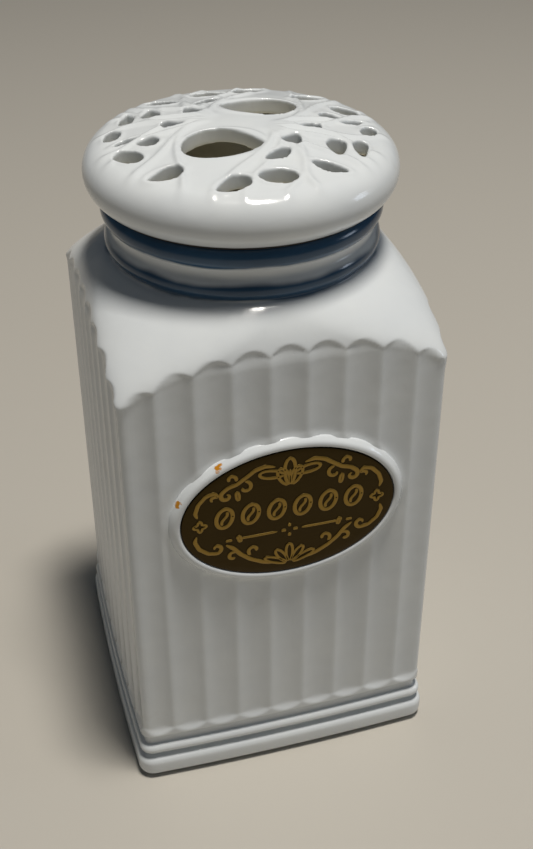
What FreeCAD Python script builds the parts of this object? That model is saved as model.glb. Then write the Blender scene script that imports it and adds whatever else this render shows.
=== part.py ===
import FreeCAD, Part
import math
import os

# Square fluted ceramic canister with a round neck and a pierced, lift-off lid.
# Millimetres, +Z up, +X to the right, front face towards -Y.
# Origin at the middle of the footprint, on the surface that the canister stands on.

os.makedirs("parts", exist_ok=True)

# Jar: fluted body
body_half = 62.5            # from the axis to the corner ridges
body_height = 219.4         # from the surface it stands on to the foot of the neck
side_bow = 1.6              # how far each side swells past its corners in plan
corner_radius = 4.5
jar_wall = 6.0
jar_floor = 7.0

# Jar: flutes
flutes_per_side = 9
flute_overrun = 0.5         # how far each row of flutes runs past the corner ridges
flute_depth = 1.5
flute_land = 0.6            # strip left between neighbouring flutes
flute_lift = 2.0            # lowest point of the flutes above the cove

# Base pad and plinth, from the bottom up
pad_thickness = 1.1
pad_inset = 1.0             # behind the foot of the plinth's rounded band
plinth_height = 10.1
plinth_overhang = 1.9       # past the corner ridges
plinth_edge_radius = 3.2
groove_height = 1.6
groove_inset = 1.9          # behind the corner ridges
torus_height = 5.4
torus_overhang = 0.8
torus_flat = 0.2            # upright strip left at the widest place of the small moulding
cove_height = 4.8
cove_inset = 1.9
joint_lap = 1.0             # how far neighbouring forms of one casting run into each other

# Jar: shoulder, which rolls over from the sides and the corners up to the neck
side_drop = 20.5            # from the neck's foot down to where the middle of a side ends
corner_drop = 28.6          # from the neck's foot down to where a corner ridge ends
side_curve = (1.77, 1.37)   # exponents of the roll over a side, at its start and at its end
corner_curve = (1.27, 1.06)
shoulder_sections = 8
least_flat = 1.0            # half of the straight left in the roundest section

# Jar: neck, from its foot up
neck_radius = 51.3
neck_wall = 5.3
lower_roll_height = 7.8
lower_roll_proud = 1.3
neck_groove_height = 3.4
neck_groove_depth = 1.3
upper_roll_height = 9.4
upper_roll_proud = 2.1
roll_return = 0.3           # how far each roll turns back before the groove
lip_proud = 0.1

# Name plate and its bezel on the front side
plate_half_width = 42.2
plate_half_height = 29.0
plate_drop = 84.9           # centre of the plate below the neck's foot
plate_thickness = 1.0
plate_edge_radius = 0.3
adhesive_thickness = 0.3
adhesive_inset = 1.0
plate_clearance = 0.25      # round the plate, inside the bezel
bezel_width = 2.3
bezel_proud = 1.7           # past the swell of the side
bezel_round = 1.0
bezel_lip = 0.35            # past the face of the plate
land_width = 3.0            # oval round the bezel that the flutes stop at
land_depth = 0.2            # behind the swell of the side

# Lid
gasket_thickness = 1.0      # flange between the neck and the lid
lid_overhang = 7.4          # past the neck's foot
lid_rim_radius = 10.2       # section of the rolled rim
lid_foot_overhang = 2.2
lid_height = 26.0           # from its seat to the top of its dome
lid_foot_width = 3.5
lid_shell = 5.5
chamber_corner = 4.0
chamber_height = 2.5        # between the shell's edge and the stopper's floor

# Finger holes and leaf holes through the lid
finger_length = 28.4
finger_width = 21.0
finger_offset = 19.5        # from the lid's axis to each finger hole
finger_bearing = 56.0       # degrees from +X
finger_turn = 112.0         # long axis of the oval from the radial line
leaf_holes = (              # bearing, distance in from the lid's edge, length, width, turn from radial
    (5.0, 23.3, 7.6, 6.0, 155.0),
    (14.0, 13.8, 11.3, 7.2, 114.0),
    (40.0, 13.8, 12.6, 7.2, 149.0),
    (72.0, 13.4, 12.8, 7.5, 125.0),
    (93.0, 16.8, 13.0, 7.8, 77.0),
    (102.0, 29.6, 11.5, 4.6, 107.0),
    (119.5, 14.8, 13.0, 5.0, 27.0),
    (126.0, 35.9, 7.0, 7.0, 40.0),
    (138.5, 20.4, 11.0, 6.6, 120.0),
    (145.5, 13.0, 12.5, 5.0, 110.0),
    (162.0, 33.7, 8.2, 4.2, 6.0),
    (167.0, 11.7, 8.5, 5.2, 75.0),
    (177.0, 16.4, 9.5, 3.0, 16.0),
)

# Stopper, cement and gasket
stopper_wall = 3.0
stopper_chamfer = 2.0
cement_gap = 0.8
cement_lift = 2.0           # above the lid's seat
cement_height = 7.5
skirt_depth = 10.0          # below the neck's top
skirt_gap = 2.2             # between the skirt and the neck's bore
gasket_fit = 0.2            # between the gasket and the skirt, and the gasket and the neck
gasket_inset = 0.9          # of the flange behind the lid's foot
gasket_sleeve = 1.2
gasket_lift = 1.0           # of the sleeve's end above the skirt's end
gasket_lips = 2
gasket_lip_height = 1.6

# Heights and radii that follow from those
groove_bottom = pad_thickness + plinth_height
torus_bottom = groove_bottom + groove_height
cove_bottom = torus_bottom + torus_height
body_bottom = cove_bottom + cove_height
side_front = body_half + side_bow
bezel_front = -(side_front + bezel_proud)
plate_front = bezel_front + bezel_lip
plate_back = plate_front + plate_thickness
recess_back = plate_back + adhesive_thickness
recess_half_width = plate_half_width + plate_clearance
recess_half_height = plate_half_height + plate_clearance
plate_height = body_height - plate_drop
neck_bore = neck_radius - neck_wall
lower_roll_top = body_height + lower_roll_height
upper_roll_bottom = lower_roll_top + neck_groove_height
neck_top = upper_roll_bottom + upper_roll_height
seat = neck_top + gasket_thickness
lid_radius = neck_radius + lid_overhang
lid_foot_radius = neck_radius + lid_foot_overhang
lid_bore = lid_foot_radius - lid_foot_width
lid_apex = seat + lid_height
rim_centre = lid_radius - lid_rim_radius
rim_height = seat + math.sqrt(lid_rim_radius ** 2 - (lid_foot_radius - rim_centre) ** 2)
dome_rise = lid_apex - rim_height
dome_radius = (rim_centre ** 2 + dome_rise ** 2 - lid_rim_radius ** 2) / (2 * (dome_rise - lid_rim_radius))
dome_centre = lid_apex - dome_radius
ceiling_edge = dome_centre + math.sqrt(dome_radius ** 2 - (lid_bore - chamber_corner) ** 2) - lid_shell
stopper_top = ceiling_edge - chamber_height
stopper_radius = lid_bore - cement_gap
skirt_radius = neck_bore - skirt_gap
skirt_end = neck_top - skirt_depth


def point(x, y, z=0.0):
    return FreeCAD.Vector(x, y, z)


def bowed_square(half, bow, corner, bottom, top):
    """Upright prism with four slightly swelling sides and rounded corners."""
    corners = [point(-half, -half), point(half, -half), point(half, half), point(-half, half)]
    swells = [point(0, -half - bow), point(half + bow, 0), point(0, half + bow), point(-half - bow, 0)]
    edges = []
    for number in range(4):
        side = Part.Arc(corners[number], swells[number], corners[(number + 1) % 4])
        edges.append(side.toShape())
    face = Part.Face(Part.Wire(edges))
    face.translate(point(0, 0, bottom))
    prism = face.extrude(point(0, 0, top - bottom))
    upright = []
    for edge in prism.Edges:
        ends = edge.Vertexes
        if len(ends) == 2 and abs(ends[0].Z - ends[1].Z) > (top - bottom) / 2:
            upright.append(edge)
    return prism.makeFillet(corner, upright)


def edges_at(solid, height):
    return [edge for edge in solid.Edges
            if abs(edge.BoundBox.ZMin - height) < 1e-4 and abs(edge.BoundBox.ZMax - height) < 1e-4]


def turned(edges):
    """Solid of revolution about Z from a closed outline in the XZ plane."""
    outline = Part.Wire(edges)
    return Part.Face(outline).revolve(point(0, 0), point(0, 0, 1), 360)


def line(start, end):
    return Part.LineSegment(point(start[0], 0, start[1]), point(end[0], 0, end[1])).toShape()


def arc(start, middle, end):
    return Part.Arc(point(start[0], 0, start[1]), point(middle[0], 0, middle[1]),
                    point(end[0], 0, end[1])).toShape()


def polygon(corners):
    """Closed run of straight edges through the corners, in the XZ plane."""
    return [line(corner, corners[(number + 1) % len(corners)]) for number, corner in enumerate(corners)]


def ring(inner, outer, bottom, top):
    return turned(polygon([(inner, bottom), (outer, bottom), (outer, top), (inner, top)]))


def upright_ellipse(half_width, half_height, front, back):
    """Oval slab standing in the XZ plane, between two depths along Y."""
    oval = Part.Ellipse(point(0, 0), half_width, half_height)
    face = Part.Face(Part.Wire([oval.toShape()]))
    face.rotate(point(0, 0), point(1, 0, 0), 90)
    face.translate(point(0, front, plate_height))
    return face.extrude(point(0, back - front, 0))


def rolled_over(outer, inner, drop, curve, below):
    """Reach from the axis of the rolled-over shoulder, at a distance below the neck's foot."""
    rise = max(0.0, 1 - below / drop)
    return inner + (outer - inner) * (1 - rise ** curve[0]) ** (1 / curve[1])


def shoulder_section(inset, below):
    """Outline of the shoulder at a distance below its top: a bowed square that turns into a circle."""
    half = body_half - inset
    inner = neck_radius - joint_lap - inset
    side = rolled_over(half + side_bow, inner, side_drop, side_curve, below)
    corner_reach = half * math.sqrt(2) - corner_radius * (math.sqrt(2) - 1)
    corner = rolled_over(corner_reach, inner, corner_drop, corner_curve, below)
    bow = side_bow * (side - inner) / (half + side_bow - inner)
    rounding = ((side - bow) * math.sqrt(2) - corner) / (math.sqrt(2) - 1)
    flat = max(side - bow - rounding, least_flat)
    swell = bow * (flat / (side - bow)) ** 2 + least_flat ** 2 / (2 * side)
    edge = side - swell
    tip = corner / math.sqrt(2)
    height = body_height - inset - below
    edges = []
    for number in range(4):
        straight = Part.Arc(point(-flat, -edge, height), point(0, -side, height), point(flat, -edge, height))
        round_off = Part.Arc(point(flat, -edge, height), point(tip, -tip, height), point(edge, -flat, height))
        for curve in (straight, round_off):
            shape = curve.toShape()
            shape.rotate(point(0, 0), point(0, 0, 1), 90 * number)
            edges.append(shape)
    return Part.Wire(edges)


def body_form(inset, bottom):
    """Body without its flutes: an upright bowed prism and the shoulder that rolls over from it."""
    sections = []
    for number in range(shoulder_sections + 1):
        rise = math.sin(math.pi / 2 * number / shoulder_sections)
        sections.append(shoulder_section(inset, corner_drop * (1 - rise)))
    shoulder = Part.makeLoft(sections, True, False)
    prism = Part.Face(sections[0]).extrude(point(0, 0, bottom - (body_height - inset - corner_drop)))
    return prism.fuse(shoulder)


def flute_cutters():
    """Round-bottomed gouges, a row on each side, closed by a scoop at their lower ends."""
    pitch = 2 * (body_half + flute_overrun) / flutes_per_side
    half_width = (pitch - flute_land) / 2
    gouge = (half_width ** 2 + flute_depth ** 2) / (2 * flute_depth)
    scoop_centre = body_bottom + flute_lift + half_width
    cutters = []
    for side in range(4):
        for number in range(flutes_per_side):
            across = (number - (flutes_per_side - 1) / 2) * pitch
            swell = side_front - side_bow * (across / body_half) ** 2
            middle = point(across, -(swell - flute_depth + gouge), scoop_centre)
            shaft = Part.makeCylinder(gouge, body_height - scoop_centre, middle)
            cutter = shaft.fuse(Part.makeSphere(gouge, middle))
            cutter.rotate(point(0, 0), point(0, 0, 1), 90 * side)
            cutters.append(cutter)
    return cutters


def neck_outside():
    """Two rolls with a groove between them, up to the neck's lip."""
    groove = neck_radius - neck_groove_depth
    lip = neck_radius + lip_proud
    foot = body_height - 4 * joint_lap
    lower_roll = arc((neck_radius, body_height),
                     (neck_radius + lower_roll_proud, body_height + lower_roll_height / 2),
                     (groove + roll_return, lower_roll_top))
    hollow = arc((groove + roll_return, lower_roll_top),
                 (groove, lower_roll_top + neck_groove_height / 2),
                 (groove + roll_return, upper_roll_bottom))
    upper_roll = arc((groove + roll_return, upper_roll_bottom),
                     (neck_radius + upper_roll_proud, upper_roll_bottom + upper_roll_height / 2 + roll_return),
                     (lip, neck_top))
    return turned([line((0, foot), (neck_radius, foot)), line((neck_radius, foot), (neck_radius, body_height)),
                   lower_roll, hollow, upper_roll,
                   line((lip, neck_top), (0, neck_top)), line((0, neck_top), (0, foot))])


def make_plinth():
    """Foot of the jar: a rounded band, a groove, a small torus and a cove."""
    plinth_half = body_half + plinth_overhang
    band = bowed_square(plinth_half, side_bow, corner_radius + plinth_overhang, pad_thickness, groove_bottom)
    band = band.makeFillet(plinth_edge_radius, edges_at(band, groove_bottom) + edges_at(band, pad_thickness))
    groove = bowed_square(body_half - groove_inset, side_bow, corner_radius,
                          groove_bottom - joint_lap, torus_bottom + joint_lap)
    torus = bowed_square(body_half + torus_overhang, side_bow, corner_radius, torus_bottom, cove_bottom)
    torus = torus.makeFillet((torus_height - torus_flat) / 2,
                             edges_at(torus, torus_bottom) + edges_at(torus, cove_bottom))
    cove = bowed_square(body_half - cove_inset, side_bow, corner_radius,
                        cove_bottom - joint_lap, body_bottom + joint_lap)
    return band.fuse([groove, torus, cove])


def make_bezel():
    """Raised oval frame for the name plate, on a land that the flutes stop at."""
    bezel = upright_ellipse(recess_half_width + bezel_width, recess_half_height + bezel_width,
                            bezel_front, -(body_half - jar_wall / 2))
    front_edge = [edge for edge in bezel.Edges if edge.BoundBox.YMax < bezel_front + 0.01]
    bezel = bezel.makeFillet(bezel_round, front_edge)
    land = upright_ellipse(recess_half_width + bezel_width + land_width,
                           recess_half_height + bezel_width + land_width,
                           -(side_front - land_depth), -(body_half - jar_wall / 2))
    return bezel.fuse(land)


def make_jar():
    outside = body_form(0, body_bottom).cut(flute_cutters())
    outside = outside.fuse([make_plinth(), make_bezel(), neck_outside()])
    recess = upright_ellipse(recess_half_width, recess_half_height, bezel_front - joint_lap, recess_back)
    inside = body_form(jar_wall, pad_thickness + jar_floor)
    bore = ring(0, neck_bore, body_height - 2 * jar_wall, neck_top + joint_lap)
    return outside.cut([recess, inside, bore])


def make_name_plate():
    plate = upright_ellipse(plate_half_width, plate_half_height, plate_front, plate_back)
    rim = [edge for edge in plate.Edges if edge.BoundBox.YMax < plate_front + 0.01]
    return plate.makeFillet(plate_edge_radius, rim)


def make_plate_adhesive():
    return upright_ellipse(plate_half_width - adhesive_inset, plate_half_height - adhesive_inset,
                           plate_back, recess_back)


def make_base_pad():
    pad_half = body_half + plinth_overhang - plinth_edge_radius / 2 - pad_inset
    return bowed_square(pad_half, side_bow, corner_radius, 0, pad_thickness)


def leaf(length, width):
    """Face with two pointed ends, lying in the XY plane."""
    left = point(-length / 2, 0)
    right = point(length / 2, 0)
    return Part.Face(Part.Wire([Part.Arc(left, point(0, -width / 2), right).toShape(),
                                Part.Arc(right, point(0, width / 2), left).toShape()]))


def lid_holes():
    """Two finger holes beside the axis and leaf-shaped holes round them, in two like halves."""
    oval = Part.Face(Part.Wire([Part.Ellipse(point(0, 0), finger_length / 2, finger_width / 2).toShape()]))
    outlines = [(oval, finger_bearing, finger_offset, finger_turn)]
    for bearing, inset, length, width, turn in leaf_holes:
        outlines.append((leaf(length, width), bearing, lid_radius - inset, turn))
    cutters = []
    for half_turn in (0, 180):
        for outline, bearing, distance, turn in outlines:
            hole = outline.extrude(point(0, 0, lid_apex + joint_lap - stopper_top))
            hole.translate(point(0, 0, stopper_top))
            hole.rotate(point(0, 0), point(0, 0, 1), turn)
            hole.translate(point(distance, 0, 0))
            hole.rotate(point(0, 0), point(0, 0, 1), bearing + half_turn)
            cutters.append(hole)
    return cutters


def lid_chamber():
    """Hollow of the lid: a bore for the stopper under a low conical ceiling."""
    shoulder = lid_bore - chamber_corner
    knee = chamber_corner * math.sqrt(0.5)
    bottom = seat - joint_lap
    spring = ceiling_edge - chamber_corner
    top = (0, lid_apex - lid_shell)
    return turned([line((0, bottom), (lid_bore, bottom)), line((lid_bore, bottom), (lid_bore, spring)),
                   arc((lid_bore, spring), (shoulder + knee, spring + knee), (shoulder, ceiling_edge)),
                   line((shoulder, ceiling_edge), top), line(top, (0, bottom))])


def make_lid_cap():
    lean = math.atan2(rim_centre, rim_height - dome_centre)
    tangent = (rim_centre + lid_rim_radius * math.sin(lean), rim_height + lid_rim_radius * math.cos(lean))
    halfway = (dome_radius * math.sin(lean / 2), dome_centre + dome_radius * math.cos(lean / 2))
    shaped = turned([line((0, seat), (lid_foot_radius, seat)),
                     arc((lid_foot_radius, seat), (lid_radius, rim_height), tangent),
                     arc(tangent, halfway, (0, lid_apex)), line((0, lid_apex), (0, seat))])
    return shaped.cut([lid_chamber()] + lid_holes())


def make_lid_plug():
    wall = stopper_wall
    outline = [(0, stopper_top), (stopper_radius - stopper_chamfer, stopper_top),
               (stopper_radius, stopper_top - stopper_chamfer), (stopper_radius, seat),
               (skirt_radius, seat), (skirt_radius, skirt_end),
               (skirt_radius - wall, skirt_end), (skirt_radius - wall, seat + wall),
               (stopper_radius - wall, stopper_top - wall), (0, stopper_top - wall)]
    return turned(polygon(outline))


def make_plug_cement():
    return ring(stopper_radius, lid_bore, seat + cement_lift, seat + cement_lift + cement_height)


def make_lid_gasket():
    inner = skirt_radius + gasket_fit
    sleeve = inner + gasket_sleeve
    lip = neck_bore - gasket_fit
    bottom = skirt_end + gasket_lift
    flange = ring(inner, lid_foot_radius - gasket_inset, neck_top, seat)
    gasket = ring(inner, sleeve, bottom, seat).fuse(flange)
    for number in range(gasket_lips):
        low = bottom + gasket_lift + number * 2 * gasket_lip_height
        lip_ring = turned(polygon([(inner, low), (sleeve, low), (lip, low + gasket_lip_height / 2),
                                   (sleeve, low + gasket_lip_height), (inner, low + gasket_lip_height)]))
        gasket = gasket.fuse(lip_ring)
    return gasket.removeSplitter()


nodes = {
    "jar": make_jar,
    "base_pad": make_base_pad,
    "name_plate": make_name_plate,
    "plate_adhesive": make_plate_adhesive,
    "lid_cap": make_lid_cap,
    "lid_plug": make_lid_plug,
    "plug_cement": make_plug_cement,
    "lid_gasket": make_lid_gasket,
}
for name, make in nodes.items():
    shape = make()
    shape.exportStep("parts/" + name + ".step")
    print(name, len(shape.Solids), shape.isValid(), round(shape.Volume))
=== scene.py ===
import bpy
import math
import numpy as np
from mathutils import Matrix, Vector


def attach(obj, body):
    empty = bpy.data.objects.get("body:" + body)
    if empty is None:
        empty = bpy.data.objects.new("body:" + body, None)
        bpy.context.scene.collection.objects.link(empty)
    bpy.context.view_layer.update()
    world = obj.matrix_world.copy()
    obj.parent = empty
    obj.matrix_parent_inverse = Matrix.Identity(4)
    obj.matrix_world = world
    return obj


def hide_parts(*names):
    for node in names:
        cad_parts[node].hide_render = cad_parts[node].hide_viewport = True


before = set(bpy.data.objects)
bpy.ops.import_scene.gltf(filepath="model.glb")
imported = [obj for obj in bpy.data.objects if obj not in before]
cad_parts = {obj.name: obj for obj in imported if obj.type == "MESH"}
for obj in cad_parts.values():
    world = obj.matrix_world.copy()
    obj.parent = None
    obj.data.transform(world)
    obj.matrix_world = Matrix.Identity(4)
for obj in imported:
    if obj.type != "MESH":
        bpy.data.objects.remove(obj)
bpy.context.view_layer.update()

scene = bpy.context.scene
scene.view_settings.view_transform = "Standard"


# Base pad: a thin sheet of black rubber, die-cut a little smaller than the jar's foot
# and stuck under it, so that the glazed plinth doesn't scratch the table.
mm = 0.001


def linear(code):
    """Linear colour from an sRGB hex code."""
    parts = [int(code[place:place + 2], 16) / 255 for place in (1, 3, 5)]
    return tuple(part / 12.92 if part <= 0.04045 else ((part + 0.055) / 1.055) ** 2.4
                 for part in parts) + (1.0,)


def node(material, kind, inputs, **settings):
    """Adds a node; an input is given a value, or another node's first output, or an output."""
    new = material.node_tree.nodes.new("ShaderNode" + kind)
    for key, value in settings.items():
        setattr(new, key, value)
    for socket, value in inputs.items():
        if isinstance(value, bpy.types.Node):
            value = value.outputs[0]
        if isinstance(value, bpy.types.NodeSocket):
            material.node_tree.links.new(value, new.inputs[socket])
        else:
            new.inputs[socket].default_value = value
    return new


# moulded rubber: dull black, with dust clinging to it in patches about 2.5 mm across
rubber = bpy.data.materials.new("black rubber, moulded and matt")
rubber.use_nodes = True
place = node(rubber, "TexCoord", {}).outputs["Object"]
dust = node(rubber, "TexNoise", {"Vector": place, "Scale": 1 / (2.5 * mm), "Detail": 4.0})
shade = node(rubber, "MixRGB", {"Fac": dust, "Color1": linear("#0c0d0e"), "Color2": linear("#1d1e20")})
grain = node(rubber, "Bump", {"Height": dust, "Strength": 0.3, "Distance": 0.1 * mm})
shader = rubber.node_tree.nodes["Principled BSDF"]
rubber.node_tree.links.new(shade.outputs[0], shader.inputs["Base Color"])
rubber.node_tree.links.new(grain.outputs[0], shader.inputs["Normal"])
shader.inputs["Roughness"].default_value = 0.75
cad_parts["base_pad"].material_slots[0].material = rubber


# Jar: slip-cast white earthenware, square, with nine hollow flutes on each side, a stepped plinth,
# a shoulder that rolls over to a round neck with two rolls, and a raised oval bezel on the front.
# Everything is one casting, softened by a thick clear-white glaze.
body_half = 62.5
body_height = 219.4
side_bow = 1.6
corner_radius = 4.5
jar_wall = 6.0
flutes_per_side = 9
flute_depth = 1.5
flute_pitch = 14.0
neck_radius = 51.3
neck_bore = 46.0
side_drop, side_curve = 20.5, (1.77, 1.37)
corner_drop, corner_curve = 28.6, (1.27, 1.06)
arch_top, arch_fall, corner_fall = 207.0, 8.0, 4.0
flute_foot = 24.2
outer_flute = 56.0
plate_height = 134.5
recess_width, recess_height = 42.45, 29.25


def select_only(*pieces):
    """Selects these pieces and nothing else, with the first as the active one."""
    bpy.ops.object.select_all(action="DESELECT")
    for piece in pieces:
        piece.select_set(True)
    if pieces:
        bpy.context.view_layer.objects.active = pieces[0]


def rings(name, columns, rows, shape):
    """A flat sheet with a column round the piece and a row up it, wrapped into the shape and closed."""
    select_only()
    bpy.ops.mesh.primitive_grid_add(x_subdivisions=columns, y_subdivisions=rows - 1, size=2.0)
    piece = bpy.context.object
    piece.name = name
    count = len(piece.data.vertices)
    places = np.empty(count * 3)
    piece.data.vertices.foreach_get("co", places)
    places = places.reshape(-1, 3)
    column = np.rint((places[:, 0] + 1) / 2 * columns).astype(int) % columns
    row = np.rint((places[:, 1] + 1) / 2 * (rows - 1)).astype(int)
    piece.data.vertices.foreach_set("co", (shape(column, row) * mm).ravel())
    bpy.ops.object.mode_set(mode="EDIT")
    bpy.ops.mesh.select_all(action="SELECT")
    bpy.ops.mesh.remove_doubles(threshold=0.001 * mm)
    bpy.ops.mesh.normals_make_consistent(inside=False)
    bpy.ops.object.mode_set(mode="OBJECT")
    bpy.ops.object.shade_smooth()
    return piece


def square_reach(bearing, half, bow, centre):
    """Distance from the axis to a bowed square whose round corners start at centre, at a bearing."""
    turn = np.mod(bearing + math.pi / 4, math.pi / 2) - math.pi / 4
    across, out = np.abs(np.sin(turn)), np.cos(turn)
    reach = (half + bow) / out
    for repeat in range(4):
        reach = (half + bow * (1 - np.minimum(reach * across / half, 1) ** 2)) / out
    corner = half + bow * (1 - (centre / half) ** 2) - centre
    along = centre * (across + out)
    rounded = along + np.sqrt(np.maximum(corner ** 2 - (2 * centre ** 2 - along ** 2), 0))
    return np.where(reach * across > centre, rounded, reach)


def soft_least(one, other, blend):
    """The lesser of two values, with the corner between them rounded."""
    mix = np.clip(0.5 + 0.5 * (other - one) / blend, 0, 1)
    return other * (1 - mix) + one * mix - blend * mix * (1 - mix)


def rolled_over(outer, inner, drop, curve, below):
    """Reach of a wall that rolls in from outer to inner over the drop; below is measured from its top."""
    rise = np.clip(1 - below / drop, 0, 1)
    return inner + (outer - inner) * (1 - rise ** curve[0]) ** (1 / curve[1])


def shoulder_reach(bearing, height, inset):
    """The body and its shoulder: a bowed square that turns into a circle on its way up."""
    half = body_half - inset
    inner = neck_radius - 1 - inset
    below = body_height - inset - height
    side = rolled_over(half + side_bow, inner, side_drop, side_curve, below)
    corner = rolled_over(half * math.sqrt(2) - corner_radius * (math.sqrt(2) - 1), inner,
                         corner_drop, corner_curve, below)
    bow = side_bow * (side - inner) / (half + side_bow - inner)
    edge = side - bow
    centre = edge - corner_radius
    for repeat in range(6):
        centre = np.clip((corner - edge - bow * (1 - (centre / edge) ** 2)) / (math.sqrt(2) - 1), 0, edge)
    return square_reach(bearing, edge, bow, centre)


def scoop(inside):
    """How much of a flute's depth is left, at a distance inside its rounded end."""
    run = 5.5
    return 1 - (1 - np.clip(inside / run, 0, 1)) ** 2.4


def flute_hollow(x, height, front):
    """Depth of the flutes at a place across a side; on the front they also end round the bezel."""
    soft_ridge = 0.14
    place = np.abs(np.mod(x / flute_pitch + 0.5, 1) - 0.5) * 2
    corner_run = 4.6
    place = np.where(np.abs(x) > outer_flute, np.minimum((np.abs(x) - outer_flute) / corner_run, 1), place)
    over = np.maximum(place - (1 - soft_ridge), 0)
    round_bottom = 1 - np.minimum(place, 1 - soft_ridge) ** 2 \
        - 2 * (1 - soft_ridge) * (over - over ** 2 / (2 * soft_ridge))
    out = x / outer_flute
    top = arch_top - arch_fall * out ** 2 - corner_fall * out ** 6 - 3.6 * place ** 2
    bottom = flute_foot + 3.2 * place ** 2
    left = scoop(top - height) * scoop(height - bottom)
    rim, mean_reach = 2.3, 36
    share = np.hypot(x / (recess_width + rim), (height - plate_height) / (recess_height + rim))
    away = (share - 1) * mean_reach
    near_bezel = scoop(away - 0.2 - 3.0 * place ** 2)
    left = np.where(front, left * near_bezel, left)
    return flute_depth * soft_least(round_bottom, left * 1.05, 0.25)


per_flute = 12
step = np.arange(flutes_per_side * per_flute) / per_flute
crowding = 0.055            # draws the columns together at the ridges
across = (step - crowding * np.sin(2 * math.pi * step) - flutes_per_side / 2) * flute_pitch
bearing_on_side = np.arctan(across / (body_half + side_bow * (1 - (across / body_half) ** 2)))
bearing_on_side[0] = -math.pi / 4
jar_bearings = np.concatenate([bearing_on_side + math.pi / 2 * side for side in range(4)])


def arc_rows(centre, radius, start, end, count):
    """Reach and height of points on an arc, from one angle to another in degrees."""
    angles = np.radians(np.linspace(start, end, count))
    return [(centre[0] + radius * math.cos(a), centre[1] + radius * math.sin(a)) for a in angles]


def three_point_rows(start, middle, end, count):
    """Rows on the arc through three points."""
    (ax, ay), (bx, by), (cx, cy) = start, middle, end
    double_area = 2 * (ax * (by - cy) + bx * (cy - ay) + cx * (ay - by))
    a, b, c = ax ** 2 + ay ** 2, bx ** 2 + by ** 2, cx ** 2 + cy ** 2
    x = (a * (by - cy) + b * (cy - ay) + c * (ay - by)) / double_area
    y = (a * (cx - bx) + b * (ax - cx) + c * (bx - ax)) / double_area
    first = math.degrees(math.atan2(ay - y, ax - x))
    last = math.degrees(math.atan2(cy - y, cx - x))
    return arc_rows((x, y), math.hypot(ax - x, ay - y), first, last, count)


# each row: kind, size, height; "square" and "floor" rows give the half width, "round" rows the radius,
# "body" rows follow the fluted walls and the shoulder, and "inside" rows follow them a wall further in
jar_rows = [("round", 0.0, 1.1), ("square", 40.0, 1.1), ("square", 60.0, 1.1)]
jar_rows += [("square", reach, z) for reach, z in arc_rows((61.15, 4.3), 3.2, -90, 0, 7)]
jar_rows += [("square", reach, z) for reach, z in arc_rows((61.15, 8.0), 3.2, 0, 84, 7)]
jar_rows += [("square", 61.1, 11.35), ("square", 60.75, 11.7), ("square", 60.75, 12.3),
             ("square", 61.0, 12.8)]
jar_rows += [("square", reach, z) for reach, z in arc_rows((60.7, 15.5), 2.6, -80, 80, 10)]
jar_rows += [("square", 60.95, 18.35), ("square", 60.7, 19.0), ("square", 60.65, 20.0), ("square", 60.8, 21.0),
             ("square", 61.2, 21.9), ("square", 61.75, 22.6), ("body", 0, 23.3)]
# the walls have close rows where the flutes end and beside the bezel, and few where they run straight
heights = np.concatenate([np.linspace(24.0, 34, 20), np.linspace(40, 90, 4), np.linspace(94.5, 174.5, 57),
                          np.linspace(178, 188, 4), np.linspace(190, 208, 36), np.linspace(209, 218.4, 14)])
jar_rows += [("body", 0, z) for z in heights]
jar_rows += [("round", 51.55, 218.95), ("round", 51.45, 219.5)]
jar_rows += [("round", r, z) for r, z in three_point_rows((51.4, 219.9), (52.6, 223.4), (50.5, 227.0), 9)]
jar_rows += [("round", 50.15, 227.8), ("round", 50.0, 228.9), ("round", 50.15, 230.1)]
jar_rows += [("round", r, z) for r, z in three_point_rows((50.5, 230.9), (53.4, 235.6), (51.6, 239.6), 12)]
jar_rows += [("round", 51.2, 239.9), ("round", 50.6, 240.0), ("round", 47.0, 240.0), ("round", 46.2, 239.7),
             ("round", 46.0, 239.0), ("round", 46.0, 215.0), ("round", 46.0, 209.5)]
jar_rows += [("inside", 0, z) for z in (208.5, 204, 199, 190, 180, 20, 12)]
jar_rows += [("floor", 56.0, 9.6), ("floor", 54.5, 8.3), ("floor", 50.0, 8.1), ("floor", 25.0, 8.1)]
jar_rows += [("round", 0.0, 8.1)]


def jar_shape(column, row):
    """Places of the jar's skin, from under the foot, up the outside, over the lip and down inside."""
    bearing = jar_bearings[column]
    reach = np.zeros(len(column))
    height = np.zeros(len(column))
    side = np.rint(bearing / (math.pi / 2)).astype(int)
    turn = bearing - side * math.pi / 2
    for number, (kind, size, z) in enumerate(jar_rows):
        here = row == number
        height[here] = z
        angle = bearing[here]
        if kind == "round":
            reach[here] = size
        elif kind == "square":
            reach[here] = square_reach(angle, size, side_bow, body_half - corner_radius)
        elif kind == "floor":
            reach[here] = square_reach(angle, size, side_bow, size - corner_radius)
        elif kind == "inside":
            reach[here] = np.maximum(shoulder_reach(angle, z, jar_wall), neck_bore)
        else:
            base = shoulder_reach(angle, z, 0)
            x = base * np.sin(turn[here])
            hollow = flute_hollow(x, z, side[here] % 4 == 0)
            reach[here] = base - hollow / np.cos(turn[here])
    return np.stack([reach * np.sin(bearing), -reach * np.cos(bearing), height], axis=1)


jar = rings("jar_glazed", len(jar_bearings), len(jar_rows), jar_shape)

# the bezel's section, from its flared foot over its rounded front to the recess behind the plate:
# how far it stands out from the recess's edge, and its depth
bezel_rows = [(4.1, -63.2), (3.6, -63.9), (3.15, -64.5), (2.75, -65.0), (2.35, -65.4), (1.85, -65.68),
              (1.2, -65.8), (0.65, -65.72), (0.2, -65.45), (0.0, -65.0), (0.0, -64.2), (0.4, -63.0),
              (3.0, -62.0), (4.2, -62.4)]
bezel_columns = 200


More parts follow.
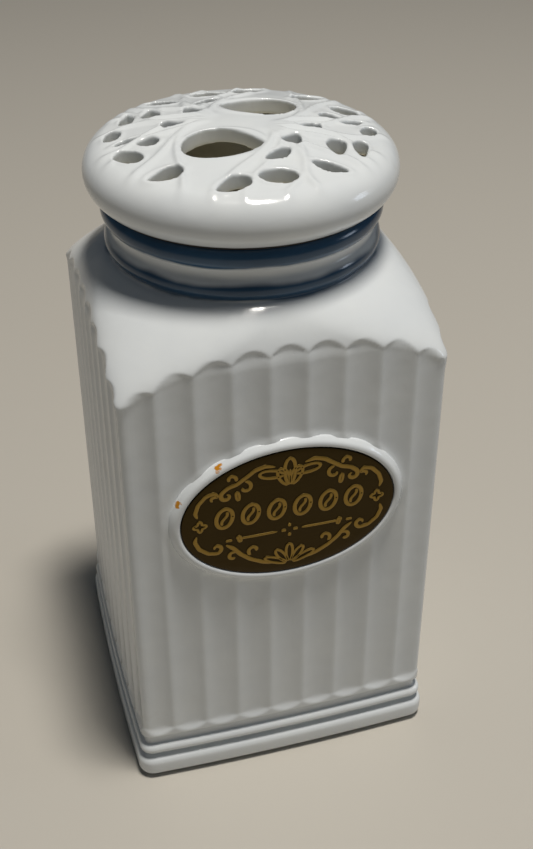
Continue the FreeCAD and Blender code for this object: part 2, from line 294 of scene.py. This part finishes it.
def bezel_shape(column, row):
    angle = column * 2 * math.pi / bezel_columns
    out = np.array([place[0] for place in bezel_rows])[row % len(bezel_rows)]
    depth = np.array([place[1] for place in bezel_rows])[row % len(bezel_rows)]
    normal = np.stack([np.cos(angle) / recess_width, np.sin(angle) / recess_height])
    normal /= np.hypot(*normal)
    return np.stack([recess_width * np.cos(angle) + out * normal[0], depth,
                     plate_height + recess_height * np.sin(angle) + out * normal[1]], axis=1)


bezel = rings("bezel", bezel_columns, len(bezel_rows) + 1, bezel_shape)
select_only(jar, bezel)
bpy.ops.object.join()
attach(jar, "jar")
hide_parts("jar")

# fired earthenware glaze, poured on: a cool, glossy white with slow clouds about 18 mm across and
# faint tea-coloured stains in patches about 43 mm across
glaze = bpy.data.materials.new("white earthenware glaze with blue bands, glossy")
glaze.use_nodes = True
place = node(glaze, "TexCoord", {}).outputs["Object"]
cloud = node(glaze, "TexNoise", {"Vector": place, "Scale": 1 / (18.2 * mm), "Detail": 3.0})
shade = node(glaze, "MixRGB", {"Fac": cloud, "Color1": linear("#dfe4e8"), "Color2": linear("#eaeeef")})
stain = node(glaze, "TexNoise", {"Vector": place, "Scale": 1 / (43.5 * mm), "Detail": 5.0, "Roughness": 0.7})
stained = node(glaze, "MapRange", {"Value": stain, 1: 0.62, 2: 0.8, 3: 0.0, 4: 0.35})
shade = node(glaze, "MixRGB", {"Fac": stained, "Color1": shade, "Color2": linear("#c9c3b4")})

# blue glaze brushed on the outside of the neck's two rolls; its edges wander over about 22 mm
run = node(glaze, "TexNoise", {"Vector": place, "Scale": 1 / (22.2 * mm), "Detail": 2.0})
wander = node(glaze, "Math", {0: run, 1: 0.5}, operation="SUBTRACT")
height = node(glaze, "SeparateXYZ", {0: place}).outputs[2]
level = node(glaze, "Math", {0: wander, 1: 3.0 * mm, 2: height}, operation="MULTIPLY_ADD")
soft_edge = {"interpolation_type": "SMOOTHSTEP"}
upper = node(glaze, "MapRange", {"Value": level, 1: 231.4 * mm, 2: 233.4 * mm}, **soft_edge)
lip = node(glaze, "MapRange", {"Value": height, 1: 239.9 * mm, 2: 240.2 * mm, 3: 1.0, 4: 0.0})
lower = node(glaze, "MapRange", {"Value": level, 1: 226.6 * mm, 2: 224.4 * mm}, **soft_edge)
foot = node(glaze, "MapRange", {"Value": level, 1: 218.6 * mm, 2: 219.6 * mm}, **soft_edge)
upper_band = node(glaze, "Math", {0: upper, 1: lip}, operation="MULTIPLY")
lower_band = node(glaze, "Math", {0: lower, 1: foot}, operation="MULTIPLY")
either = node(glaze, "Math", {0: upper_band, 1: lower_band}, operation="MAXIMUM")
level_place = node(glaze, "VectorMath", {0: place, 1: (1.0, 1.0, 0.0)}, operation="MULTIPLY")
reach = node(glaze, "VectorMath", {0: level_place}, operation="LENGTH").outputs["Value"]
outside = node(glaze, "MapRange", {"Value": reach, 1: 47.5 * mm, 2: 49.0 * mm})
bands = node(glaze, "Math", {0: either, 1: outside}, operation="MULTIPLY")
blue = node(glaze, "MixRGB", {"Fac": run, "Color1": linear("#27425c"), "Color2": linear("#3b5f80")})
shade = node(glaze, "MixRGB", {"Fac": bands, "Color1": shade, "Color2": blue})

# chips by the bezel that show the orange body, and brown iron specks: colour, x, y, z and radius
flaws = [("#cf8a22", -27.6, -64.8, 160.6, 1.7), ("#c98a2b", -42.6, -64.2, 146.4, 1.3),
         ("#6b4a2c", -61.0, -63.0, 62.0, 0.7), ("#5d4029", -30.0, -63.5, 46.0, 0.6),
         ("#6b4a2c", -45.0, -64.0, 12.0, 0.9), ("#5d4029", 50.0, 14.5, 259.8, 0.7),
         ("#8a7a62", 20.0, -52.4, 258.2, 0.5)]
chipping = node(glaze, "TexNoise", {"Vector": place, "Scale": 1 / (1.667 * mm), "Detail": 2.0})
uneven = node(glaze, "Math", {0: chipping, 1: 0.5}, operation="SUBTRACT")
for code, x, y, z, radius in flaws:
    middle = (x * mm, y * mm, z * mm)
    away = node(glaze, "VectorMath", {0: place, 1: middle}, operation="DISTANCE").outputs["Value"]
    ragged = node(glaze, "Math", {0: uneven, 1: 3.0 * radius * mm, 2: away}, operation="MULTIPLY_ADD")
    spot = node(glaze, "MapRange", {"Value": ragged, 1: 0.6 * radius * mm, 2: radius * mm, 3: 1.0, 4: 0.0})
    shade = node(glaze, "MixRGB", {"Fac": spot, "Color1": shade, "Color2": linear(code)})

# pinholes about 0.6 mm across, one in each 9 mm, and the waviness of a thick glaze over about 10 mm
cell = node(glaze, "TexVoronoi", {"Vector": place, "Scale": 1 / (9.09 * mm), "Randomness": 1.0})
pinhole = node(glaze, "MapRange", {"Value": cell, 1: 0.0, 2: 0.035, 3: 0.0, 4: 1.0})
waves = node(glaze, "TexNoise", {"Vector": place, "Scale": 1 / (10.53 * mm), "Detail": 1.5})
pinholes = node(glaze, "Bump", {"Height": pinhole, "Strength": 0.35, "Distance": 0.15 * mm})
wavy = node(glaze, "Bump", {"Height": waves, "Normal": pinholes, "Strength": 0.25, "Distance": 0.9 * mm})
gloss = node(glaze, "MapRange", {"Value": cloud, 1: 0.3, 2: 0.7, 3: 0.1, 4: 0.2})
shader = glaze.node_tree.nodes["Principled BSDF"]
glaze.node_tree.links.new(shade.outputs[0], shader.inputs["Base Color"])
glaze.node_tree.links.new(gloss.outputs[0], shader.inputs["Roughness"])
glaze.node_tree.links.new(wavy.outputs[0], shader.inputs["Normal"])
jar.data.materials.clear()
jar.data.materials.append(glaze)


# Adhesive: a thin layer of contact glue, spread in the recess of the bezel, that holds the
# name plate. It dries to an uneven amber film with streaks about 3 mm wide.
glue = bpy.data.materials.new("contact glue, dried")
glue.use_nodes = True
place = node(glue, "TexCoord", {}).outputs["Object"]
cloud = node(glue, "TexNoise", {"Vector": place, "Scale": 1 / (3.33 * mm)})
shade = node(glue, "MixRGB", {"Fac": cloud, "Color1": linear("#c9bb94"), "Color2": linear("#ddd3b4")})
shader = glue.node_tree.nodes["Principled BSDF"]
glue.node_tree.links.new(shade.outputs[0], shader.inputs["Base Color"])
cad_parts["plate_adhesive"].material_slots[0].material = glue


# Name plate: an oval of stamped brass, darkened in its field and rubbed back on its raised lines.
# A row of beans, with scrolls, a flower and a palmette round it, stands in low relief.
plate_width, plate_depth = 42.2, 29.0
plate_front = -65.45
plate_columns = 144
line_height = 0.36
line_sides = 10
# share of the way out, and depth behind the plate's front
slab_rows = [(0.0, 0.0), (0.35, 0.0), (0.7, 0.0), (0.9, 0.0), (0.985, 0.03), (0.995, 0.12), (1.0, 0.35),
             (1.0, 1.0), (0.5, 1.0), (0.0, 1.0)]


def slab_shape(column, row):
    angle = column * 2 * math.pi / plate_columns
    size = np.array([place[0] for place in slab_rows])[row]
    depth = np.array([place[1] for place in slab_rows])[row]
    return np.stack([plate_width * size * np.cos(angle), plate_front + depth,
                     plate_height + plate_depth * size * np.sin(angle)], axis=1)


plate = rings("name_plate_stamped", plate_columns, len(slab_rows), slab_shape)
relief = [plate]


def stroke(path, width, taper=True):
    """A raised line, rounded on top, along a path of places across and up the plate."""
    path = np.array(path, dtype=float)
    runs = np.concatenate([[0], np.cumsum(np.hypot(*np.diff(path, axis=0).T))])
    even = np.linspace(0, runs[-1], max(14, int(runs[-1] / 0.35)))
    path = np.stack([np.interp(even, runs, path[:, 0]), np.interp(even, runs, path[:, 1])], axis=1)
    for repeat in range(3):
        path[1:-1] = (path[:-2] + 2 * path[1:-1] + path[2:]) / 4
    along = np.gradient(path, axis=0)
    along /= np.maximum(np.hypot(along[:, 0], along[:, 1])[:, None], 1e-9)
    count = len(path)
    share = np.linspace(0, 1, count)
    size = np.clip(np.minimum(share, 1 - share) * (8 if taper else 30), 0.0, 1) ** 0.4
    size[0] = size[-1] = 0

    def shape(column, row):
        turn = column * 2 * math.pi / line_sides
        side = np.cos(turn) * width * 0.84 * size[row]
        lift = np.sin(turn) * line_height * size[row] ** 0.5
        x = path[row, 0] - along[row, 1] * side
        z = path[row, 1] + along[row, 0] * side
        return np.stack([x, plate_front - lift, plate_height + z], axis=1)

    relief.append(rings("line", line_sides, count, shape))


def spiral(centre, first, last, start, sweep, count=22):
    """Places on a curl whose radius runs from one size to another; angles in degrees."""
    angles = np.radians(np.linspace(start, start + sweep, count))
    sizes = np.linspace(first, last, count)
    return np.stack([centre[0] + sizes * np.cos(angles), centre[1] + sizes * np.sin(angles)], axis=1)


def petal(base, length, width, lean):
    """Places round a pointed leaf that starts at its base and leans from upright, in degrees."""
    turn = np.linspace(0, 2 * math.pi, 26)
    along = length * (1 - np.cos(turn)) / 2
    aside = width / 2 * np.sin(turn) * (0.65 + 0.35 * np.sin(turn / 2))
    lean = math.radians(lean)
    return np.stack([base[0] + along * math.sin(lean) + aside * math.cos(lean),
                     base[1] + along * math.cos(lean) - aside * math.sin(lean)], axis=1)


def mirrored(path, side):
    """The path as it is for side 1, and turned over to the plate's left for side -1."""
    return np.array(path) * [side, 1]


# scrolls, side flowers, rules and the leaves of the flower and palmette, on both halves of the plate
for side in (1, -1):
    vine = [(5.5, 22.6), (9.5, 23.6), (13.5, 22.6), (17.0, 20.0), (20.5, 17.6), (24.0, 16.6), (26.4, 14.6)]
    stroke(mirrored(np.concatenate([vine, spiral((24.6, 13.0), 2.2, 0.7, 20, -300, 18)]), side), 1.25)
    stroke(mirrored(spiral((17.4, 15.6), 3.0, 0.8, 85, 290), side), 1.05)
    stroke(mirrored(spiral((22.6, 20.2), 2.2, 0.7, 215, -280), side), 1.0)
    stroke(mirrored(petal((20.6, 14.6), -4.6, 1.3, 8), side), 0.8)
    bow = [(27.2, 13.4), (29.0, 15.2), (32.4, 14.4), (35.4, 11.0), (36.6, 7.2), (35.8, 4.6)]
    stroke(mirrored(np.concatenate([spiral((29.3, 12.0), 0.7, 2.0, -60, 200, 12), bow[1:]]), side), 1.15)
    four = np.linspace(0, 2.2 * math.pi, 45)
    clover = np.stack([35.0 + (1.9 + 0.75 * np.cos(4 * four)) * np.cos(four),
                       0.6 + (1.9 + 0.75 * np.cos(4 * four)) * np.sin(four)], axis=1)
    stroke(mirrored(clover, side), 0.8, taper=False)
    low_bow = [(36.4, -3.6), (37.2, -6.4), (35.6, -10.2), (32.0, -13.2), (28.6, -13.8)]
    stroke(mirrored(np.concatenate([low_bow, spiral((28.9, -11.4), 2.3, 0.7, -105, -290, 16)]), side), 1.15)
    low_vine = [(25.4, -10.2), (22.4, -12.6), (19.6, -16.2), (15.6, -19.6), (10.8, -22.2), (5.6, -23.8)]
    stroke(mirrored(low_vine, side), 1.25)
    stroke(mirrored(spiral((22.4, -16.6), 2.5, 0.7, 140, -290), side), 1.05)
    stroke(mirrored(spiral((14.2, -15.4), 2.6, 0.7, -60, 290), side), 1.05)
    stroke(mirrored(petal((19.4, -10.4), 3.6, 1.2, 12), side), 0.8)
    stroke(mirrored([(4.6, -8.4), (12.0, -8.5), (20.4, -8.4)], side), 0.75)
    stroke(mirrored(spiral((20.2, -7.7), 0.75, 0.5, -90, 200, 10), side), 0.6)
    stroke(mirrored([(22.6, -8.6), (25.4, -8.6)], side), 0.8)
    stroke(mirrored(petal((2.4, 18.6), 9.6, 3.8, 80), side), 0.95, taper=False)
    stroke(mirrored(petal((0.6, 13.6), 8.4, 4.4, 24), side), 0.95, taper=False)
    stroke(mirrored(petal((0.8, -24.4), 8.2, 2.9, 34), side), 0.85, taper=False)
    stroke(mirrored(petal((1.2, -24.6), 9.6, 2.7, 66), side), 0.85, taper=False)
    stroke(mirrored([(1.3, -8.4), (3.4, -8.4)], side), 0.9)

# middle of the flower, of the palmette and of the rule
stroke(petal((0, 13.4), 12.2, 4.6, 0), 1.0, taper=False)
stroke([(0, 15.4), (0, 18.2), (0, 20.6)], 0.7)
stroke(petal((0, -24.2), 8.8, 3.0, 0), 0.85, taper=False)
stroke([(0, -6.9), (0, -5.2)], 0.9)
stroke([(0, -11.6), (0, -9.9)], 0.9)

# a row of coffee beans, each an outline that overlaps its own start and a curved seam
beans = 6
bean_pitch = 10.2
lean = math.radians(14)
for number in range(beans):
    middle = (number - (beans - 1) / 2) * bean_pitch
    turn = np.linspace(0, 2.2 * math.pi, 37)
    across = 3.1 * np.cos(turn)
    up = 4.5 * np.sin(turn)
    stroke(np.stack([middle + across * math.cos(lean) + up * math.sin(lean),
                     2.6 - across * math.sin(lean) + up * math.cos(lean)], axis=1), 1.15, taper=False)
    seam = np.linspace(-1, 1, 15)
    stroke(np.stack([middle + 3.3 * seam * math.sin(lean) + 0.8 * np.sin(math.pi * seam),
                     2.6 + 3.5 * seam * math.cos(lean)], axis=1), 0.9)
select_only(*relief)
bpy.ops.object.join()
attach(plate, "jar")
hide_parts("name_plate")

# stamped brass, blackened and rubbed back: dark brown field, dull gold lines, and fine level scratches.
# The scratches are 0.67 mm apart, coarser than real ones, so that they show.
brass = bpy.data.materials.new("brass, stamped and antiqued")
brass.use_nodes = True
place = node(brass, "TexCoord", {}).outputs["Object"]
scratch_length, scratch_pitch = 16.7 * mm, 0.667 * mm
stretch = (1 / scratch_length, 1 / scratch_length, 1 / scratch_pitch)
stretched = node(brass, "Mapping", {"Vector": place, "Scale": stretch})
brushing = node(brass, "TexNoise", {"Vector": stretched, "Scale": 1.0, "Detail": 4.0})
tarnish = node(brass, "TexNoise", {"Vector": place, "Scale": 1 / (14.3 * mm), "Detail": 4.0})
depth = node(brass, "SeparateXYZ", {0: place}).outputs[1]
raised = node(brass, "MapRange", {"Value": depth, 1: -65.52 * mm, 2: -65.66 * mm})
field = node(brass, "MixRGB", {"Fac": brushing, "Color1": linear("#241b06"), "Color2": linear("#4a3a12")})
field = node(brass, "MixRGB", {"Fac": tarnish, "Color1": field, "Color2": linear("#392b0c")})
line = node(brass, "MixRGB", {"Fac": brushing, "Color1": linear("#866a2d"), "Color2": linear("#a98a44")})
shade = node(brass, "MixRGB", {"Fac": raised, "Color1": field, "Color2": line})
nook = node(brass, "AmbientOcclusion", {"Distance": 1.3 * mm}, samples=16).outputs["AO"]
open_part = node(brass, "MapRange", {"Value": nook, 1: 0.55, 2: 0.95, 3: 0.12, 4: 1.0})
shade = node(brass, "MixRGB", {"Fac": 1.0, "Color1": shade, "Color2": open_part}, blend_type="MULTIPLY")
scored = node(brass, "Bump", {"Height": brushing, "Strength": 0.35, "Distance": 0.05 * mm})
rough = node(brass, "MapRange", {"Value": brushing, 1: 0.3, 2: 0.7, 3: 0.36, 4: 0.55})
shader = brass.node_tree.nodes["Principled BSDF"]
shader.inputs["Metallic"].default_value = 0.85
brass.node_tree.links.new(shade.outputs[0], shader.inputs["Base Color"])
brass.node_tree.links.new(rough.outputs[0], shader.inputs["Roughness"])
brass.node_tree.links.new(scored.outputs[0], shader.inputs["Normal"])
plate.data.materials.clear()
plate.data.materials.append(brass)


# Stopper: a closed cup of unglazed beige stoneware, turned and fired, then cemented into the lid.
# Its skirt hangs in the neck. It is dull and gritty, with dark flecks about 1 mm across, 4 mm apart.
stoneware = bpy.data.materials.new("beige stoneware, unglazed")
stoneware.use_nodes = True
place = node(stoneware, "TexCoord", {}).outputs["Object"]
cloud = node(stoneware, "TexNoise", {"Vector": place, "Scale": 1 / (8.33 * mm), "Detail": 5.0})
shade = node(stoneware, "MixRGB", {"Fac": cloud, "Color1": linear("#a9a18a"), "Color2": linear("#c8c1ad")})
fleck = node(stoneware, "TexVoronoi", {"Vector": place, "Scale": 1 / (3.846 * mm)})
flecked = node(stoneware, "MapRange", {"Value": fleck, 1: 0.06, 2: 0.16, 3: 0.7, 4: 0.0})
shade = node(stoneware, "MixRGB", {"Fac": flecked, "Color1": shade, "Color2": linear("#6d6350")})
grit = node(stoneware, "Bump", {"Height": cloud, "Strength": 0.4, "Distance": 0.2 * mm})
shader = stoneware.node_tree.nodes["Principled BSDF"]
shader.inputs["Roughness"].default_value = 0.62
stoneware.node_tree.links.new(shade.outputs[0], shader.inputs["Base Color"])
stoneware.node_tree.links.new(grit.outputs[0], shader.inputs["Normal"])
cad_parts["lid_plug"].material_slots[0].material = stoneware


# Cement: a ring of grey-white ceramic cement, pressed by hand between the stopper and the lid's bore.
# It sets dull and rough, mottled in patches about 3 mm across.
cement = bpy.data.materials.new("ceramic cement, set")
cement.use_nodes = True
place = node(cement, "TexCoord", {}).outputs["Object"]
cloud = node(cement, "TexNoise", {"Vector": place, "Scale": 1 / (2.86 * mm), "Detail": 5.0})
shade = node(cement, "MixRGB", {"Fac": cloud, "Color1": linear("#bdbbb3"), "Color2": linear("#d8d6ce")})
grit = node(cement, "Bump", {"Height": cloud, "Strength": 0.5, "Distance": 0.2 * mm})
shader = cement.node_tree.nodes["Principled BSDF"]
shader.inputs["Roughness"].default_value = 0.85
cement.node_tree.links.new(shade.outputs[0], shader.inputs["Base Color"])
cement.node_tree.links.new(grit.outputs[0], shader.inputs["Normal"])
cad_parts["plug_cement"].material_slots[0].material = cement


# Lid: one casting with a fat rolled rim and a low dome, pierced by two finger holes and by leaf holes
# in two like halves, with veins and soft lips in low relief, under the same white glaze.
lid_radius = 58.7
lid_top = 267.0
dome_radius = 184.0
dome_edge = 51.35

# each hole: bearing, distance from the lid's edge, length, width, turn from radial,
# how blunt its outer and inner ends are (0.5 is round, 1 is pointed), bend
holes = [(56.0, 39.2, 28.4, 21.0, 112.0, 0.75, 0.5, 1.6),
         (5.0, 23.3, 7.6, 6.0, 155.0, 0.45, 0.9, 0.0), (14.0, 13.8, 11.3, 7.2, 114.0, 0.45, 0.4, 0.3),
         (40.0, 13.8, 12.6, 7.2, 149.0, 0.5, 1.0, -0.6), (72.0, 13.4, 12.8, 7.5, 125.0, 0.5, 0.85, -0.3),
         (93.0, 16.8, 13.0, 7.8, 77.0, 0.5, 0.62, -0.5), (102.0, 29.6, 11.5, 4.6, 107.0, 0.75, 0.8, -0.7),
         (119.5, 14.8, 13.0, 5.0, 27.0, 0.8, 0.8, -0.8), (126.0, 35.9, 7.0, 7.0, 40.0, 0.25, 1.0, 0.0),
         (138.5, 20.4, 11.0, 6.6, 120.0, 0.35, 0.9, 0.3), (145.5, 13.0, 12.5, 5.0, 110.0, 0.4, 1.0, 0.7),
         (162.0, 33.7, 8.2, 4.2, 6.0, 0.3, 0.9, 0.3), (167.0, 11.7, 8.5, 5.2, 75.0, 0.35, 0.35, 0.0),
         (177.0, 16.4, 9.5, 3.0, 16.0, 0.9, 0.9, -0.5)]
bridge = -34.0              # bearing of the solid strip between the finger holes


def on_lid(u, v, hole, half):
    """Place on the lid of a place along and across a hole."""
    bearing, inset, turn = hole[0], hole[1], hole[4]
    away = math.radians(bearing + half)
    lean = math.radians(bearing + half + turn)
    distance = lid_radius - inset
    return (distance * math.cos(away) + u * math.cos(lean) - v * math.sin(lean),
            distance * math.sin(away) + u * math.sin(lean) + v * math.cos(lean))


def lid_relief(x, y):
    """Height of the veins and of the lips round the holes above the dome, in millimetres."""
    reach = np.hypot(x, y)
    bearing = np.degrees(np.arctan2(y, x))
    height = np.zeros(len(x))
    for end in (0, 180):
        for fan in (-86, -68, -52, -37, -22, -8, 6, 20, 35, 51, 68, 86):
            run = np.clip((reach - 9) / 42, 0, 1)
            line = bridge + end + fan * run ** 0.62 + 7 * np.sin(run * 5 + fan)
            off = (bearing - line + 180) % 360 - 180
            across = reach * np.radians(np.abs(off)) * 0.82
            fade = np.clip((reach - 10) / 8, 0, 1) * np.clip((56 - reach) / 7, 0, 1)
            height = np.maximum(height, 1.1 * fade * np.exp(-(across / 1.15) ** 2))
    for half in (0, 180):
        for hole in holes:
            middle = on_lid(0, 0, hole, half)
            lean = math.radians(hole[0] + half + hole[4])
            u = (x - middle[0]) * math.cos(lean) + (y - middle[1]) * math.sin(lean)
            v = (y - middle[1]) * math.cos(lean) - (x - middle[0]) * math.sin(lean)
            edge = np.hypot(u / (hole[2] / 2), v / (hole[3] / 2))
            outside = (edge - 1) * (hole[2] + hole[3]) / 4
            lip = 0.55 * np.exp(-((outside - 0.9) / 1.1) ** 2)
            height = np.maximum(height * np.clip((outside + 0.4) / 1.5, 0.2, 1), lip)
    return height


# reach and height of the lid's section, from the middle of its dome, round the rim and up its bore;
# the dome is kept a little low, so that its relief stays under the top
dome_base = lid_top - dome_radius
lid_rows = [(reach, dome_base + math.sqrt(dome_radius ** 2 - reach ** 2) - (1 - (reach / dome_edge) ** 6))
            for reach in np.linspace(0, dome_edge, 52)]
lid_rows += arc_rows((48.5, 249.89), 10.2, 70, -59, 26)
outside_rows = 62
lid_rows += [(53.3, 241.1), (52.6, 241.0), (51.0, 241.0), (50.2, 241.1), (50.0, 241.6), (50.0, 246.0)]
lid_rows += arc_rows((46.0, 251.65), 4.0, 0, 90, 7)
lid_rows += [(34.5, 257.1), (23.0, 258.6), (11.5, 260.0), (0.0, 261.5)]
lid_columns = 300


def lid_shape(column, row):
    angle = column * 2 * math.pi / lid_columns
    reach = np.array([place[0] for place in lid_rows])[row]
    height = np.array([place[1] for place in lid_rows])[row]
    x, y = reach * np.cos(angle), reach * np.sin(angle)
    height = height + np.where(row < outside_rows, lid_relief(x, y) * np.clip((57.5 - reach) / 4, 0, 1), 0)
    return np.stack([x, y, height], axis=1)


lid = rings("lid_pierced", lid_columns, len(lid_rows), lid_shape)

# a cutter for each hole, drawn a little large because the smoothing below draws the edges in
outline_points = 48
growth = 0.35
cutters = []
for half in (0, 180):
    for hole in holes:
        outline = np.cos(np.linspace(0, 2 * math.pi, outline_points + 1)[:-1])
        side = np.where(np.arange(outline_points) < outline_points / 2, 1.0, -1.0)
        broad = (1 - outline + 1e-6) ** hole[5] * (1 + outline + 1e-6) ** hole[6]
        broad = broad / broad.max() * (hole[3] / 2 + growth)
        bent = side * broad + hole[7] * (0.5 - outline ** 2)
        x, y = on_lid(outline * (hole[2] / 2 + growth), bent, hole, half)
        select_only()
        bpy.ops.mesh.primitive_cylinder_add(vertices=outline_points, radius=1.0, depth=1.0)
        cutter = bpy.context.object
        for vertex in cutter.data.vertices:
            turned = math.atan2(vertex.co.x, vertex.co.y) / (2 * math.pi)
            spot = round(turned * outline_points) % outline_points
            vertex.co = (x[spot] * mm, y[spot] * mm, (275.0 if vertex.co.z > 0 else 252.0) * mm)
        bpy.ops.object.mode_set(mode="EDIT")
        bpy.ops.mesh.select_all(action="SELECT")
        bpy.ops.mesh.normals_make_consistent(inside=False)
        bpy.ops.object.mode_set(mode="OBJECT")
        cutters.append(cutter)
select_only(*cutters)
bpy.ops.object.join()

# the holes are cut, their edges softened as glaze softens them, and the mesh thinned
triangles = 185000
select_only(lid)
for kind, settings in (("BOOLEAN", {"operation": "DIFFERENCE", "object": cutters[0]}),
                       ("REMESH", {"mode": "VOXEL", "voxel_size": 0.5 * mm}),
                       ("SMOOTH", {"factor": 0.5, "iterations": 9}),
                       ("DECIMATE", {})):
    bpy.ops.object.modifier_add(type=kind)
    modifier = lid.modifiers[-1]
    for key, value in settings.items():
        setattr(modifier, key, value)
    if kind == "DECIMATE":
        modifier.ratio = triangles / (2 * len(lid.data.polygons))
    bpy.ops.object.modifier_apply(modifier=modifier.name)
bpy.ops.object.shade_smooth()
bpy.data.objects.remove(cutters[0])
lid.data.materials.clear()
lid.data.materials.append(glaze)
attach(lid, "lid")
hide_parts("lid_cap")


# Gasket: a ring of the same moulded black rubber as the base pad, slipped over the stopper's skirt.
# It sits between the lid and the top of the neck, and shows as a thin dull line.
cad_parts["lid_gasket"].material_slots[0].material = rubber


# Camera: a little to the left of the front and above the lid, looking down at the object from
# near by, so that the body narrows towards its foot.
look_at = Vector((0.0117, 0.0, 0.148))
turn_left = math.radians(16.07)
look_down = math.radians(33.25)
distance = 0.5042
camera_data = bpy.data.cameras.new("camera")
camera_data.lens = 50.94
camera_data.shift_x = -0.006
camera_data.shift_y = -0.0444
camera_data.clip_start = 0.01
camera = bpy.data.objects.new("camera", camera_data)
flat = distance * math.cos(look_down)
camera.location = look_at + Vector((-flat * math.sin(turn_left), -flat * math.cos(turn_left),
                                    distance * math.sin(look_down)))
camera.rotation_euler = (look_at - camera.location).to_track_quat("-Z", "Y").to_euler()
scene.collection.objects.link(camera)
scene.camera = camera


# Floor and light: a plain pale floor, a soft warm lamp overhead a little to the front, a weak cool
# one low at the right, and a dim cool sky that fills the shaded sides.
select_only()
bpy.ops.mesh.primitive_plane_add(size=6.0, location=(0, 0, 0))
floor = bpy.context.object
floor.name = "floor"
ground = bpy.data.materials.new("pale floor")
ground.use_nodes = True
ground.node_tree.nodes["Principled BSDF"].inputs["Base Color"].default_value = linear("#c6c1b7")
ground.node_tree.nodes["Principled BSDF"].inputs["Roughness"].default_value = 0.6
floor.data.materials.append(ground)
world = bpy.data.worlds.new("studio")
scene.world = world
world.use_nodes = True
world.node_tree.nodes["Background"].inputs[0].default_value = linear("#c3d6ec")
world.node_tree.nodes["Background"].inputs[1].default_value = 0.06
for name, energy, size, stand, code in (("key", 45.0, 0.4, (0.2, -0.28, 2.4), "#fffaf2"),
                                        ("side", 0.8, 0.25, (1.1, -0.32, 0.42), "#dce9fb")):
    lamp = bpy.data.lights.new(name, "AREA")
    lamp.energy = energy
    lamp.size = size
    lamp.color = linear(code)[:3]
    holder = bpy.data.objects.new(name, lamp)
    holder.location = stand
    holder.rotation_euler = (Vector((0, 0, 0.15)) - holder.location).to_track_quat("-Z", "Y").to_euler()
    scene.collection.objects.link(holder)
